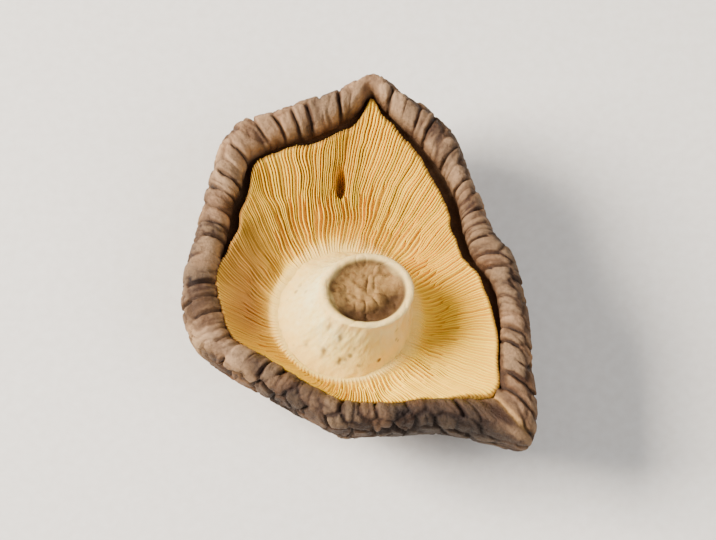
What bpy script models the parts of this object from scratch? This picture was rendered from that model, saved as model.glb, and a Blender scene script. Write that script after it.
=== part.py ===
"""A dried shiitake mushroom, lying gill side up on its domed cap. Metres, +Z up, origin under its middle."""

import math
import random

import bpy
import numpy as np
from mathutils.geometry import delaunay_2d_cdt

for old in list(bpy.data.objects):
    bpy.data.objects.remove(old, do_unlink=True)

# Every size below is in millimetres. MM turns it into metres when a mesh is made.
MM = 0.001

# Plan of the cap and of the gill layer seen from the gill side, clockwise from the tip of the cap.
# Drying has pulled the round cap into a rounded triangle with a tip, a shoulder and a sharp corner.
CAP_EDGE = [
    (1.4, 24.7), (5.1, 22.2), (7.4, 20.3), (10.6, 17.0), (12.4, 11.6), (14.7, 5.3), (16.8, 1.9),
    (18.4, -4.0), (18.9, -10.8), (19.3, -16.6), (18.2, -20.2), (14.7, -19.2), (8.3, -18.1),
    (3.7, -18.4), (-2.3, -18.4), (-5.9, -16.5), (-10.1, -14.0), (-14.7, -11.4), (-17.9, -8.9),
    (-19.6, -4.9), (-19.3, 0.9), (-17.9, 7.2), (-16.6, 13.0), (-15.2, 16.9), (-13.0, 19.1),
    (-9.2, 20.6), (-3.7, 22.7),
]
GILL_EDGE = [
    (1.0, 21.2), (2.5, 19.3), (4.8, 16.5), (7.8, 12.3), (9.6, 8.2), (10.2, 4.6), (11.2, 1.6),
    (13.2, -1.0), (14.2, -4.6), (14.5, -9.5), (14.0, -14.0), (10.6, -14.4), (6.4, -14.6),
    (1.8, -15.1), (-2.4, -14.4), (-5.0, -12.9), (-9.2, -10.3), (-13.4, -7.7), (-14.6, -4.5),
    (-15.1, -0.9), (-13.6, 5.2), (-12.4, 9.4), (-11.3, 13.3), (-7.8, 15.2), (-4.6, 16.4),
    (-1.8, 17.9), (-0.2, 19.4),
]
CENTRE = (-0.4, 1.2)        # middle of the cap, over the spot that it rests on
STEM_FOOT = (-1.7, -4.2)    # middle of the stem where it grows out of the cap
CUT_CENTRE = (0.7, -4.0)    # middle of the trimmed end, which leans to one side
SHIFT = (0.30, -2.21)       # brings the middle of the bounding box to the origin

# Cap: a dome from the flat spot to its widest line, then a rim that rolls up and inward.
REST_RADIUS = 4.0           # flat spot at the bottom of the dome
DOME_RISE = 10.6            # height of the widest line of the cap
DOME_FLARE = 4              # power of the last upward sweep from the dome to the rim
RIM_HEIGHT = 14.4           # height of the crest of the rolled rim
RIM_WAVES = [(0.4, 2, 0.9), (0.25, 5, 2.1)]     # rise and fall of the crest: size, waves a turn, phase
ROLL_HEIGHT = 1.9           # vertical half size of the rolled rim
ROLL_TURN = math.radians(200)
GROOVE_WIDTH = (0.75, 1.4)  # between gills and rim, where it is narrowest and widest
GROOVE_SIDE = math.radians(70)      # direction in which it is widest
GROOVE_REACH = 0.48         # how far round from that side it stays wide
GROOVE_FADE = 0.6           # how softly it narrows
POCKET_MARGIN = 0.1         # from the groove to the wall of the pocket
FLOOR_MIDDLE = 6.6          # pocket under the gills, at its middle
FLOOR_DROP = 5.3            # from the crest of the rim to the edge of the pocket floor
FLOOR_RINGS = (1.0, 0.72, 0.4)
SOLID_GAP = 0.35            # between the cap, the gill layer and the stem

# The skin is laid out as a flat disc: flat spot and dome up to DOME_REACH, then round the rolled rim.
DOME_REACH = 26.9
SKIN_REACH = 33.6
# Rings of skin plates: distance from the middle of the disc, number of plates. The last two are the
# beads of the rim, which stand in line.
PLATE_RINGS = [
    (7.2, 9), (11.4, 15), (15.4, 20), (19.0, 27), (22.2, 34), (25.0, 42), (27.5, 52),
    (30.1, 64), (32.7, 64),
]
WANDER = 0.24               # of a plate round its ring, as a share of its width
BEAD_WANDER = 0.13
STRAY = 0.45                # of a plate towards or away from the middle
LIFT = (-0.12, 0.16)        # of a plate above or below the others
BEAD_LIFT = (-0.1, 0.12)
CRACK_DEPTH = 0.75
BEAD_CRACK_DEPTH = 0.45
CRACK_FADE = (22.0, 6.0)    # where cracks start to get shallower towards the rim, and over what way
BORDER_DEPTH = 0.2          # of the cracks at the inner edge of the rim
CRACK_HALF_WIDTH = 0.42
CRACK_SHARE = 0.3           # the most of a plate that one crack's wall may take
PLATE_BULGE = 0.38
BORDER_BULGE = 0.23
BORDER_REACH = 31.0         # plates beyond this are on the inner side of the rim
PLATE_LOW = 0.05            # lowest height of a plate beside the flat spot
MERGE = 0.75                # cracks that meet closer than this meet in one point
SKIN_SEED = 37

# Gill layer: rows of points from the stem (0) to the margin (1), and the forms of the blades.
GILL_COUNT = 72
GILL_ROWS = [0.0, 0.08, 0.2, 0.35, 0.5, 0.65, 0.8, 0.93, 1.0]
GILL_UNDERSIDE = (1.0, 0.5, 0.0)
GILL_DEPTH = 0.75
GILL_DEPTH_NEAR_STEM = 0.35     # share of the depth at the stem, full from GILL_DEEP_FROM outwards
GILL_DEEP_FROM = 0.4
GILL_SWING = 0.22           # of a blade to one side, as a share of half the way to the next one
GILL_UNEVEN = 0.12          # of a blade up or down
SHORT_GILLS = (0.15, 0.45)  # every second blade fades in between these shares of the way
SHORT_GILL_SHARE = 0.75
GILL_MIDDLE = 10.9          # height of the gill surface round the stem
GILL_CUP = 1.4              # power of its rise towards the margin
GILL_COLLAR = 0.7           # its rise against the stem, over GILL_COLLAR_WIDTH of the way
GILL_COLLAR_WIDTH = 0.12
GILL_BELOW_RIM = (0.7, 1.2)     # margin below the crest, at the narrow and the wide groove
MARGIN_DROP = 0.7
STEM_CLEARANCE = 0.45
SLIT = (-2.3, 12.0)         # dried split in the gill layer
SLIT_SIZE = (0.7, 1.7)
SLIT_DEPTH = 1.0

# Stem: rows of height, share of the way from the foot to the trimmed end, share of the foot's radius.
# The lowest row follows the pocket floor.
STEM_SIDES = 32
STEM_RADIUS = (7.4, 7.6)    # at the foot, across and along
CUT_RADIUS = (5.2, 4.8)     # at the trimmed end, across and along
CUT_HEIGHT = 17.0
CUT_TILT = math.radians(6)
STEM_RIDGE = 0.16
STEM_ROWS = [
    (0.0, 0.0, 1.0), (10.9, 0.0, 1.0), (11.6, 0.08, 0.86), (12.5, 0.24, 0.6), (13.6, 0.46, 0.32),
    (14.9, 0.7, 0.13), (16.1, 0.9, 0.02), (16.8, 1.0, 0.0),
]
# The end has dried into a dish: share of the end's radius, depth.
DISH_ROWS = [(0.86, -0.15), (0.66, 0.55), (0.34, 0.9)]
DISH_DEPTH = 1.0
DISH_ROUGH = 0.5            # share of the ridges that the dish shows
DISH_TURN = 3               # step between the ridges that it shows

# Colours of the cap, the gills and the stem as linear red, green and blue, and their roughness.
CAP_FINISH = ((0.30, 0.19, 0.115), 0.7)
GILL_FINISH = ((0.68, 0.42, 0.16), 0.65)
STEM_FINISH = ((0.80, 0.64, 0.38), 0.7)


def smooth_loop(points, steps=10):
    """A closed curve through the points, as an array of x and y."""
    p = np.array(points, float)
    before, after, last = np.roll(p, 1, 0), np.roll(p, -1, 0), np.roll(p, -2, 0)
    rows = []
    for k in range(steps):
        t = k / steps
        rows.append(
            0.5 * (
                2 * p
                + (after - before) * t
                + (2 * before - 5 * p + 4 * after - last) * t ** 2
                + (3 * p - before - 3 * after + last) * t ** 3
            )
        )
    return np.stack(rows, 1).reshape(-1, 2)


def reach(points, middle):
    """A function that gives the distance from middle to the closed curve at an angle."""
    curve = smooth_loop(points) - np.array(middle)
    angle = np.arctan2(curve[:, 1], curve[:, 0])
    distance = np.hypot(curve[:, 0], curve[:, 1])
    order = np.argsort(angle)
    angle, distance = angle[order], distance[order]
    return lambda a: float(np.interp(a, angle, distance, period=2 * math.pi))


def clamp(value):
    """The value, or 0 or 1 where it is below or above them."""
    return min(max(value, 0.0), 1.0)


cap_reach = reach(CAP_EDGE, CENTRE)
gill_reach_from_cap = reach(GILL_EDGE, CENTRE)
gill_reach = reach(GILL_EDGE, STEM_FOOT)


def groove_openness(angle):
    """How wide the groove between gills and rim is: 1 on the right, the top and the upper left, else 0."""
    return clamp((math.cos(angle - GROOVE_SIDE) + GROOVE_REACH) / GROOVE_FADE)


def groove_width(angle):
    """Width of the groove between gills and rim."""
    return GROOVE_WIDTH[0] + (GROOVE_WIDTH[1] - GROOVE_WIDTH[0]) * groove_openness(angle)


def rim_width(angle):
    """Width of the rolled rim in plan."""
    return cap_reach(angle) - gill_reach_from_cap(angle) - groove_width(angle)


def rim_crest(angle):
    """Height of the rim's crest, which drying has left uneven."""
    return RIM_HEIGHT + sum(size * math.sin(waves * angle + phase) for size, waves, phase in RIM_WAVES)


def skin_line(angle, reach_on_disc):
    """A point of the skin, before its plates are raised, and its outward direction: r, z, dr, dz."""
    radius = cap_reach(angle)
    start = math.asin(REST_RADIUS / radius)
    if reach_on_disc <= REST_RADIUS:
        return reach_on_disc, 0.0, 0.0, -1.0
    if reach_on_disc <= DOME_REACH:
        share = (reach_on_disc - REST_RADIUS) / (DOME_REACH - REST_RADIUS)
        top = rim_crest(angle) - ROLL_HEIGHT
        turn = start + share * (math.pi / 2 - start)
        low = (math.cos(start) - math.cos(turn)) / math.cos(start)
        z = DOME_RISE * low + (top - DOME_RISE) * share ** DOME_FLARE
        slope = DOME_RISE * math.sin(turn) / math.cos(start)
        dr, dz = radius * math.cos(turn), slope
        size = math.hypot(dr, dz)
        return radius * math.sin(turn), z, dz / size, -dr / size
    share = (reach_on_disc - DOME_REACH) / (SKIN_REACH - DOME_REACH)
    turn = share * ROLL_TURN
    half = rim_width(angle) / 2
    z = rim_crest(angle) - ROLL_HEIGHT + ROLL_HEIGHT * math.sin(turn)
    out, up = math.cos(turn) * ROLL_HEIGHT, math.sin(turn) * half
    size = math.hypot(out, up)
    return radius - half + half * math.cos(turn), z, out / size, up / size


def skin_point(u, v, lift):
    """The point of the skin over (u, v) on the flat disc, raised by lift along the skin's outward direction."""
    angle = math.atan2(v, u)
    r, z, dr, dz = skin_line(angle, math.hypot(u, v))
    r, z = r + lift * dr, z + lift * dz
    return [CENTRE[0] + r * math.cos(angle), CENTRE[1] + r * math.sin(angle), z]


def even_angle(reach_on_disc, share):
    """The angle at a share of the way round the cap, measured along its outline at this ring."""
    turn = np.linspace(0, 2 * math.pi, 361)
    r = np.array([skin_line(a, reach_on_disc)[0] for a in turn])
    steps = np.hypot(np.diff(r * np.cos(turn)), np.diff(r * np.sin(turn)))
    way = np.concatenate([[0.0], np.cumsum(steps)])
    return float(np.interp(share % 1.0 * way[-1], way, turn))


def make_object(name, vertices, triangles, finish):
    """One closed mesh object with its own material, moved so that the part's middle is over the origin."""
    moved = [((x + SHIFT[0]) * MM, (y + SHIFT[1]) * MM, z * MM) for x, y, z in vertices]
    mesh = bpy.data.meshes.new(name)
    mesh.from_pydata(moved, [], triangles)
    mesh.validate()
    mesh.shade_smooth()
    material = bpy.data.materials.new(name)
    material.use_nodes = True
    shader = material.node_tree.nodes["Principled BSDF"]
    shader.inputs["Base Color"].default_value = (*finish[0], 1.0)
    shader.inputs["Roughness"].default_value = finish[1]
    shader.inputs["Metallic"].default_value = 0.0
    mesh.materials.append(material)
    made = bpy.data.objects.new(name, mesh)
    bpy.context.scene.collection.objects.link(made)
    return made


def stitch(triangles, first, second):
    """Two rows of triangles between two closed loops of equally many vertices."""
    count = len(first)
    for k in range(count):
        after = (k + 1) % count
        triangles.append((first[k], first[after], second[after]))
        triangles.append((first[k], second[after], second[k]))


# Cap: one thick body of flesh under a brown skin, which drying has cracked into raised plates.
# The margin rolls inward, and its plates are beads that stand side by side like the turns of a rope.
dice = random.Random(SKIN_SEED)
sites = [(0.0, 0.0)]
lifts = [0.0]
bead_angles = []
for ring, (distance, count) in enumerate(PLATE_RINGS):
    beads = ring >= len(PLATE_RINGS) - 2
    offset = dice.random()
    for k in range(count):
        wander = dice.uniform(-1, 1) * (BEAD_WANDER if beads else WANDER)
        along = 0.0 if beads else dice.uniform(-STRAY, STRAY)
        if len(bead_angles) == count:
            angle = bead_angles[k]
        else:
            angle = even_angle(distance, (k + offset + wander) / count)
        sites.append(((distance + along) * math.cos(angle), (distance + along) * math.sin(angle)))
        lifts.append(dice.uniform(*(BEAD_LIFT if beads else LIFT)))
    if beads and not bead_angles:
        bead_angles = [math.atan2(y, x) for x, y in sites[-count:]]
real = len(sites)
grow = (2 * SKIN_REACH - PLATE_RINGS[-1][0]) / PLATE_RINGS[-1][0]
for x, y in sites[real - PLATE_RINGS[-1][1]:]:
    sites.append((x * grow, y * grow))

result = delaunay_2d_cdt(sites, [], [], 0, 1e-6)
source = [row[0] for row in result[3]]
cells = [[source[k] for k in face] for face in result[2]]


def middle_of_circle(a, b, c):
    """Centre of the circle through three points."""
    ax, ay, bx, by, cx, cy = *a, *b, *c
    d = 2 * (ax * (by - cy) + bx * (cy - ay) + cx * (ay - by))
    a2, b2, c2 = ax * ax + ay * ay, bx * bx + by * by, cx * cx + cy * cy
    x = (a2 * (by - cy) + b2 * (cy - ay) + c2 * (ay - by)) / d
    y = (a2 * (cx - bx) + b2 * (ax - cx) + c2 * (bx - ax)) / d
    return x, y


# Cracks meet where three plates do.
meets = [middle_of_circle(*(sites[k] for k in cell[:3])) for cell in cells]
wanted = [k for k, cell in enumerate(cells) if min(cell) < real]
leader = {k: k for k in wanted}


def lead(k):
    """The meeting point that stands for the one numbered k."""
    while leader[k] != k:
        k = leader[k]
    return k


for i, a in enumerate(wanted):
    for b in wanted[i + 1:]:
        if math.dist(meets[a], meets[b]) < MERGE:
            leader[lead(a)] = lead(b)
groups = {}
for k in wanted:
    groups.setdefault(lead(k), []).append(k)
vertices = []
triangles = []
number = {}
flat = []
border = []
for members in groups.values():
    x = sum(meets[k][0] for k in members) / len(members)
    y = sum(meets[k][1] for k in members) / len(members)
    on_border = any(max(cells[k]) >= real for k in members)
    shallow = clamp((math.hypot(x, y) - CRACK_FADE[0]) / CRACK_FADE[1])
    depth = CRACK_DEPTH + (BEAD_CRACK_DEPTH - CRACK_DEPTH) * shallow
    if on_border:
        depth = BORDER_DEPTH
        border.append(len(vertices))
    for k in members:
        number[k] = len(vertices)
    flat.append((x, y))
    vertices.append(skin_point(x, y, -depth))

around = {k: set() for k in range(real)}
for k in wanted:
    for site in cells[k]:
        if site < real:
            around[site].add(number[k])
for site in range(real):
    loop = list(around[site])
    cx = sum(flat[k][0] for k in loop) / len(loop)
    cy = sum(flat[k][1] for k in loop) / len(loop)
    loop.sort(key=lambda k: math.atan2(flat[k][1] - cy, flat[k][0] - cx))
    inner = []
    for k in loop:
        x, y = flat[k]
        size = math.dist((x, y), (cx, cy))
        step = min(CRACK_HALF_WIDTH, CRACK_SHARE * size)
        point = skin_point(x + (cx - x) * step / size, y + (cy - y) * step / size, lifts[site])
        point[2] = 0.0 if site == 0 else max(point[2], PLATE_LOW)
        inner.append(len(vertices))
        vertices.append(point)
    bulge = BORDER_BULGE if math.hypot(cx, cy) > BORDER_REACH else PLATE_BULGE
    top = skin_point(cx, cy, lifts[site] + bulge)
    top[2] = 0.0 if site == 0 else max(top[2], PLATE_LOW)
    hub = len(vertices)
    vertices.append(top)
    # The two walls of a crack are split alike, so that they don't cross where it runs over the rim.
    for k in range(len(loop)):
        after = (k + 1) % len(loop)
        if loop[k] < loop[after]:
            triangles.append((loop[k], inner[after], loop[after]))
            triangles.append((loop[k], inner[k], inner[after]))
        else:
            triangles.append((loop[k], inner[k], loop[after]))
            triangles.append((inner[k], inner[after], loop[after]))
        triangles.append((inner[k], hub, inner[after]))


def floor_height(angle, share):
    """Height of the pocket floor, from its middle (0) to its edge (1)."""
    edge = rim_crest(angle) - FLOOR_DROP
    return FLOOR_MIDDLE + (edge - FLOOR_MIDDLE) * share ** 2


def pocket_reach(angle):
    """Distance from the middle of the cap to the wall of the pocket under the gills."""
    return gill_reach_from_cap(angle) + groove_width(angle) + POCKET_MARGIN


border.sort(key=lambda k: math.atan2(flat[k][1], flat[k][0]))
angles = [math.atan2(flat[k][1], flat[k][0]) for k in border]
loops = [border]
for share in FLOOR_RINGS:
    row = []
    for angle in angles:
        r = pocket_reach(angle) * share
        row.append(len(vertices))
        vertices.append(
            [CENTRE[0] + r * math.cos(angle), CENTRE[1] + r * math.sin(angle), floor_height(angle, share)]
        )
    loops.append(row)
for first, second in zip(loops, loops[1:]):
    stitch(triangles, first, second)
hub = len(vertices)
vertices.append([CENTRE[0], CENTRE[1], FLOOR_MIDDLE])
for k in range(len(border)):
    triangles.append((loops[-1][k], loops[-1][(k + 1) % len(border)], hub))
make_object("cap", vertices, triangles, CAP_FINISH)


def pocket_floor(x, y):
    """Height of the pocket floor under a point of the plan."""
    angle = math.atan2(y - CENTRE[1], x - CENTRE[0])
    share = math.hypot(x - CENTRE[0], y - CENTRE[1]) / pocket_reach(angle)
    return floor_height(angle, min(share, 1.0))


# Gill layer: thin blades standing side by side from the stem to the rim, half of them short.
# It is cupped, higher at its edge than round the stem, with a dried split near the tip.
dice = random.Random(SKIN_SEED + 1)
columns = 2 * GILL_COUNT
swing = [dice.uniform(-GILL_SWING, GILL_SWING) for _ in range(columns)]
blade = [dice.uniform(-GILL_UNEVEN, GILL_UNEVEN) for _ in range(columns)]


def gill_plan(k, share):
    """Where blade or gap k is in plan, at a share of the way from the stem to the margin."""
    angle = (k + swing[k]) * 2 * math.pi / columns
    cos, sin = math.cos(angle), math.sin(angle)
    hole = 1 / math.hypot(cos / (STEM_RADIUS[0] + STEM_CLEARANCE), sin / (STEM_RADIUS[1] + STEM_CLEARANCE))
    r = hole + (gill_reach(angle) - hole) * share
    return STEM_FOOT[0] + r * cos, STEM_FOOT[1] + r * sin


vertices = []
triangles = []
loops = []
for u in GILL_ROWS:
    row = []
    for k in range(columns):
        x, y = gill_plan(k, u)
        from_cap = math.atan2(y - CENTRE[1], x - CENTRE[0])
        below = GILL_BELOW_RIM[0] + (GILL_BELOW_RIM[1] - GILL_BELOW_RIM[0]) * groove_openness(from_cap)
        edge = rim_crest(from_cap) - below
        z = GILL_MIDDLE + (edge - GILL_MIDDLE) * u ** GILL_CUP
        z += GILL_COLLAR * (1 - clamp(u / GILL_COLLAR_WIDTH))
        deep = GILL_DEPTH * (GILL_DEPTH_NEAR_STEM + (1 - GILL_DEPTH_NEAR_STEM) * clamp(u / GILL_DEEP_FROM))
        if k % 2:
            z -= deep
        elif k % 4 == 2:
            grown = clamp((u - SHORT_GILLS[0]) / (SHORT_GILLS[1] - SHORT_GILLS[0]))
            z += blade[k] - deep * SHORT_GILL_SHARE * (1 - grown)
        else:
            z += blade[k]
        if u == 1.0:
            z -= MARGIN_DROP
        split = ((x - SLIT[0]) / SLIT_SIZE[0]) ** 2 + ((y - SLIT[1]) / SLIT_SIZE[1]) ** 2
        z -= SLIT_DEPTH * math.exp(-split)
        row.append(len(vertices))
        vertices.append([x, y, z])
    loops.append(row)
for u in GILL_UNDERSIDE:
    row = []
    for k in range(columns):
        x, y = gill_plan(k, u)
        row.append(len(vertices))
        vertices.append([x, y, pocket_floor(x, y) + SOLID_GAP])
    loops.append(row)
loops.append(loops[0])
for first, second in zip(loops, loops[1:]):
    stitch(triangles, second, first)
make_object("gills", vertices, triangles, GILL_FINISH)


# Stem: a short, fibrous stub that widens into the gill layer. Its end is trimmed and has dried hollow.
dice = random.Random(SKIN_SEED + 2)
ridge = [dice.uniform(-STEM_RIDGE, STEM_RIDGE) for _ in range(STEM_SIDES)]
vertices = []
triangles = []
loops = []
for z, lean, foot in STEM_ROWS:
    row = []
    mx = STEM_FOOT[0] + (CUT_CENTRE[0] - STEM_FOOT[0]) * lean
    my = STEM_FOOT[1] + (CUT_CENTRE[1] - STEM_FOOT[1]) * lean
    rx = CUT_RADIUS[0] + (STEM_RADIUS[0] - CUT_RADIUS[0]) * foot
    ry = CUT_RADIUS[1] + (STEM_RADIUS[1] - CUT_RADIUS[1]) * foot
    for k in range(STEM_SIDES):
        angle = k * 2 * math.pi / STEM_SIDES
        rough = ridge[k] if lean else 0.0
        x = mx + (rx + rough) * math.cos(angle)
        y = my + (ry + rough) * math.sin(angle)
        tilt = -math.tan(CUT_TILT) * (y - my) * lean ** 2
        row.append(len(vertices))
        vertices.append([x, y, z + tilt if z else pocket_floor(x, y) + SOLID_GAP])
    loops.append(row)
for share, depth in DISH_ROWS:
    row = []
    for k in range(STEM_SIDES):
        angle = k * 2 * math.pi / STEM_SIDES
        x = CUT_CENTRE[0] + CUT_RADIUS[0] * share * math.cos(angle)
        y = CUT_CENTRE[1] + CUT_RADIUS[1] * share * math.sin(angle)
        rough = DISH_ROUGH * ridge[(k * DISH_TURN) % STEM_SIDES]
        z = CUT_HEIGHT - depth - math.tan(CUT_TILT) * (y - CUT_CENTRE[1]) + rough
        row.append(len(vertices))
        vertices.append([x, y, z])
    loops.append(row)
for first, second in zip(loops, loops[1:]):
    stitch(triangles, first, second)
top, bottom = len(vertices), len(vertices) + 1
vertices.append([CUT_CENTRE[0], CUT_CENTRE[1], CUT_HEIGHT - DISH_DEPTH])
vertices.append([STEM_FOOT[0], STEM_FOOT[1], pocket_floor(*STEM_FOOT) + SOLID_GAP])
for k in range(STEM_SIDES):
    after = (k + 1) % STEM_SIDES
    triangles.append((loops[-1][k], loops[-1][after], top))
    triangles.append((loops[0][after], loops[0][k], bottom))
make_object("stem", vertices, triangles, STEM_FINISH)
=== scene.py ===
"""Looks of the dried shiitake mushroom: its cracked brown skin, its pale gills and its trimmed stem."""

import math
import random

import bpy
import numpy as np
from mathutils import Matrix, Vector


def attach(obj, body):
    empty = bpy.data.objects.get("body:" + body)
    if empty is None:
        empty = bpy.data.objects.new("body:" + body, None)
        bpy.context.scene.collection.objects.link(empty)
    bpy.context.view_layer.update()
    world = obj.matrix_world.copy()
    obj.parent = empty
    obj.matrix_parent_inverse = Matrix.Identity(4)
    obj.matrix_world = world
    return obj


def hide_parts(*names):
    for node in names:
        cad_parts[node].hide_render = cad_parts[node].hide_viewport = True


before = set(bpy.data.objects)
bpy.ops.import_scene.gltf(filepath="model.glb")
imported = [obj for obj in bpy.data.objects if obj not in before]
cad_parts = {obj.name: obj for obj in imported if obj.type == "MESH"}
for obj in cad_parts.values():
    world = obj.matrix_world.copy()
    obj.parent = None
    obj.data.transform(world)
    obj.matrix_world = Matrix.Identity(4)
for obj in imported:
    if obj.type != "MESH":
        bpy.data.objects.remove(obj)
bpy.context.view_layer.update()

# Cap. The real one is a thick dome of dried flesh under a brown skin. As it dried, the skin cracked
# into raised plates and the margin rolled in over the gills, where its plates are small beads.
# It grew as one piece with the gills and the stem. Sizes here and below are in millimetres.
MM = 0.001
CAP_EDGE = [
    (1.4, 24.7), (5.1, 22.2), (7.4, 20.3), (10.6, 17.0), (12.4, 11.6), (14.7, 5.3), (16.8, 1.9),
    (18.4, -4.0), (18.9, -10.8), (19.3, -16.6), (18.2, -20.2), (14.7, -19.2), (8.3, -18.1),
    (3.7, -18.4), (-2.3, -18.4), (-5.9, -16.5), (-10.1, -14.0), (-14.7, -11.4), (-17.9, -8.9),
    (-19.6, -4.9), (-19.3, 0.9), (-17.9, 7.2), (-16.6, 13.0), (-15.2, 16.9), (-13.0, 19.1),
    (-9.2, 20.6), (-3.7, 22.7),
]
GILL_EDGE = [
    (1.0, 21.2), (2.5, 19.3), (4.8, 16.5), (7.8, 12.3), (9.6, 8.2), (10.2, 4.6), (11.2, 1.6),
    (13.2, -1.0), (14.2, -4.6), (14.5, -9.5), (14.0, -14.0), (10.6, -14.4), (6.4, -14.6),
    (1.8, -15.1), (-2.4, -14.4), (-5.0, -12.9), (-9.2, -10.3), (-13.4, -7.7), (-14.6, -4.5),
    (-15.1, -0.9), (-13.6, 5.2), (-12.4, 9.4), (-11.3, 13.3), (-7.8, 15.2), (-4.6, 16.4),
    (-1.8, 17.9), (-0.2, 19.4),
]
CENTRE = (-0.4, 1.2)
SHIFT = (0.30, -2.21)  # moves the plan so that the middle of the mushroom's box is over the origin
REST_RADIUS = 4.0
DOME_RISE = 10.6
DOME_FLARE = 4
RIM_HEIGHT = 14.4
RIM_WAVES = [(0.4, 2, 0.9), (0.25, 5, 2.1)]  # height, number round the rim, phase
ROLL_HEIGHT = 1.9
ROLL_TURN = math.radians(200)
GROOVE_WIDTH = (0.75, 1.4)  # narrowest and widest
GROOVE_SIDE = math.radians(70)
GROOVE_REACH = 0.48
GROOVE_FADE = 0.6
POCKET_MARGIN = 0.1
FLOOR_MIDDLE = 6.6
FLOOR_DROP = 5.3
# Below the rim, a shelf of flesh closes the groove and runs in under the gills.
SHELF_DROP = 3.2
SHELF_TUCK = 0.6
SHELF_RELIEF = [(0.9, 0.18, 45), (0.7, 0.12, 12)]  # size, amount, seed
# How far the skin reaches from the middle of the rest spot, measured along it: dome, whole skin.
DOME_REACH = 26.9
SKIN_REACH = 33.6
RIM_START = (26.8, 2.4)  # where the look of the rim begins, and over what distance
INSIDE_START = (31.3, 1.6)
# Rings of plates on the skin when it is rolled out flat: distance and number. The last two are beads.
PLATE_RINGS = [
    (7.2, 9), (11.4, 15), (15.4, 20), (19.0, 27), (22.2, 34), (25.0, 42), (27.5, 52),
    (30.1, 64), (32.7, 64),
]
BEAD_FAMILY = 1000
SKIN_SEED = 37
WANDER = 0.24
BEAD_WANDER = 0.27
STRAY = 0.45
LIFT = (-0.12, 0.16)
BEAD_LIFT = (-0.1, 0.12)
# Cracks. Each pair is the value on the dome, and how much smaller it is on the rim.
CRACK_STRAY = (0.68, 0.42)
CRACK_WIDTH = (0.22, 0.01)
CRACK_DEPTH = (0.75, 0.3)
CRACK_BENDS = [(2.9, 1.0, 1), (1.1, 0.5, 3), (0.5, 0.25, 15)]
CRACK_SHARPNESS = 1.6
WIDTH_SPREAD = (0.5, 1.1)  # least share of the width, and what chance adds to it
WEAK_CRACK = (0.08, 0.16)  # cracks under this strength close, between plates and between beads
CRACK_RAMP = 0.55
CRACK_DRIFT = (3.6, 0.4, 7)
EDGE_CRACKS = 0.5  # strength of the cracks between the dome's plates and the rim's beads
FAINT_MARGIN = 1.2
TONE_BLEND = 0.25
# A plate's top: rise and distance, then height, place and width of its lip. A bead's: rise and reach.
PLATE_TOP = (0.08, 0.3)
PLATE_LIP = (0.07, 0.45, 0.25)
BEAD_TOP = (0.32, 0.9)
# Second cracks that split the plates.
SPLIT_SPACING = 2.1
SPLIT_JITTER = 1.0
SPLIT_REACH = 36
SPLIT_STRAY = 0.35
SPLIT_WIDTH = 0.15
SPLIT_DEPTH = 0.28
# Depth of the wrinkles of the dried skin, then size, amount and seed of its soft swells.
FOLD_DEPTH = 0.07
CREASE_DEPTH = 0.06
ROPE_DEPTH = 0.2
THREAD_DEPTH = 0.08
SWELLS = [(0.4, 0.03, 11), (1.9, 0.07, 19), (0.8, 0.03, 28)]
CORNER_FOLD = [(14.2, -14.4), (15.6, -16.2), (18.4, -19.6)]
CORNER_FOLD_WIDTH = 0.3
CORNER_FOLD_DEPTH = 0.3
# Large soft tones of the skin, mostly painted light and shade with some of the rim's own tone: place, size
# across and along, and how much lighter or darker.
SKIN_TONES_AND_PAINTED_LIGHT = [
    (-16.3, -10.5, 3.0, 2.6, 0.34), (-12.5, 19.0, 6.0, 4.5, 0.2), (-19.5, -1.5, 2.6, 6.5, -0.14),
    (8.5, -18.0, 9.0, 3.4, -0.5), (-8.0, -15.0, 4.5, 3.0, -0.34), (16.5, 4.0, 4.0, 9.0, 0.0),
    (1.0, 23.5, 4.0, 4.0, 0.28), (18.5, -15.0, 3.0, 4.0, 0.14), (-16.0, 14.5, 3.0, 4.0, 0.36),
]
# The mesh: points round the rim and from ring to ring. Rings nearer the middle have fewer points.
SKIN_COLUMNS = 768
FEWEST_COLUMNS = 48
COLUMN_SPACING = 0.1396
EVEN_RING = 28.0
FIRST_RING = 0.5
SKIN_STEP = 0.21
WALL_SHARES = (0.3, 0.65, 1.0, 1.2, 1.4, 1.6, 1.8, 2.0)
FLOOR_RINGS = ((0.93, 384), (0.8, 192), (0.6, 96), (0.35, 48))


def smooth_loop(points, steps=10):
    """A closed curve through the points, as an array of x and y."""
    p = np.array(points, float)
    before, after, last = np.roll(p, 1, 0), np.roll(p, -1, 0), np.roll(p, -2, 0)
    rows = []
    for k in range(steps):
        t = k / steps
        rows.append(
            0.5 * (
                2 * p
                + (after - before) * t
                + (2 * before - 5 * p + 4 * after - last) * t ** 2
                + (3 * p - before - 3 * after + last) * t ** 3
            )
        )
    return np.stack(rows, 1).reshape(-1, 2)


def reach(points, middle):
    """A function that gives the distance from middle to the closed curve at an angle."""
    curve = smooth_loop(points) - np.array(middle)
    angle = np.arctan2(curve[:, 1], curve[:, 0])
    distance = np.hypot(curve[:, 0], curve[:, 1])
    order = np.argsort(angle)
    angle, distance = angle[order], distance[order]
    return lambda a: np.interp(a, angle, distance, period=2 * math.pi)


def ease(x):
    """Zero below 0, one above 1, and smooth between them."""
    x = np.clip(x, 0.0, 1.0)
    return x * x * (3 - 2 * x)


def noise(points, size, seed):
    """Smooth random values from -1 to 1 at points, which change over about size millimetres."""
    table = np.random.default_rng(seed).uniform(-1, 1, 4096)
    p = np.asarray(points, float) / size
    low = np.floor(p).astype(np.int64)
    part = p - low
    part = part * part * (3 - 2 * part)
    total = np.zeros(len(p))
    for corner in np.ndindex(2, 2, 2):
        cell = low + np.array(corner)
        index = (cell[:, 0] * 73856093 ^ cell[:, 1] * 19349663 ^ cell[:, 2] * 83492791) & 4095
        weight = np.prod(np.where(np.array(corner) == 1, part, 1 - part), axis=1)
        total += table[index] * weight
    return total


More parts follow.
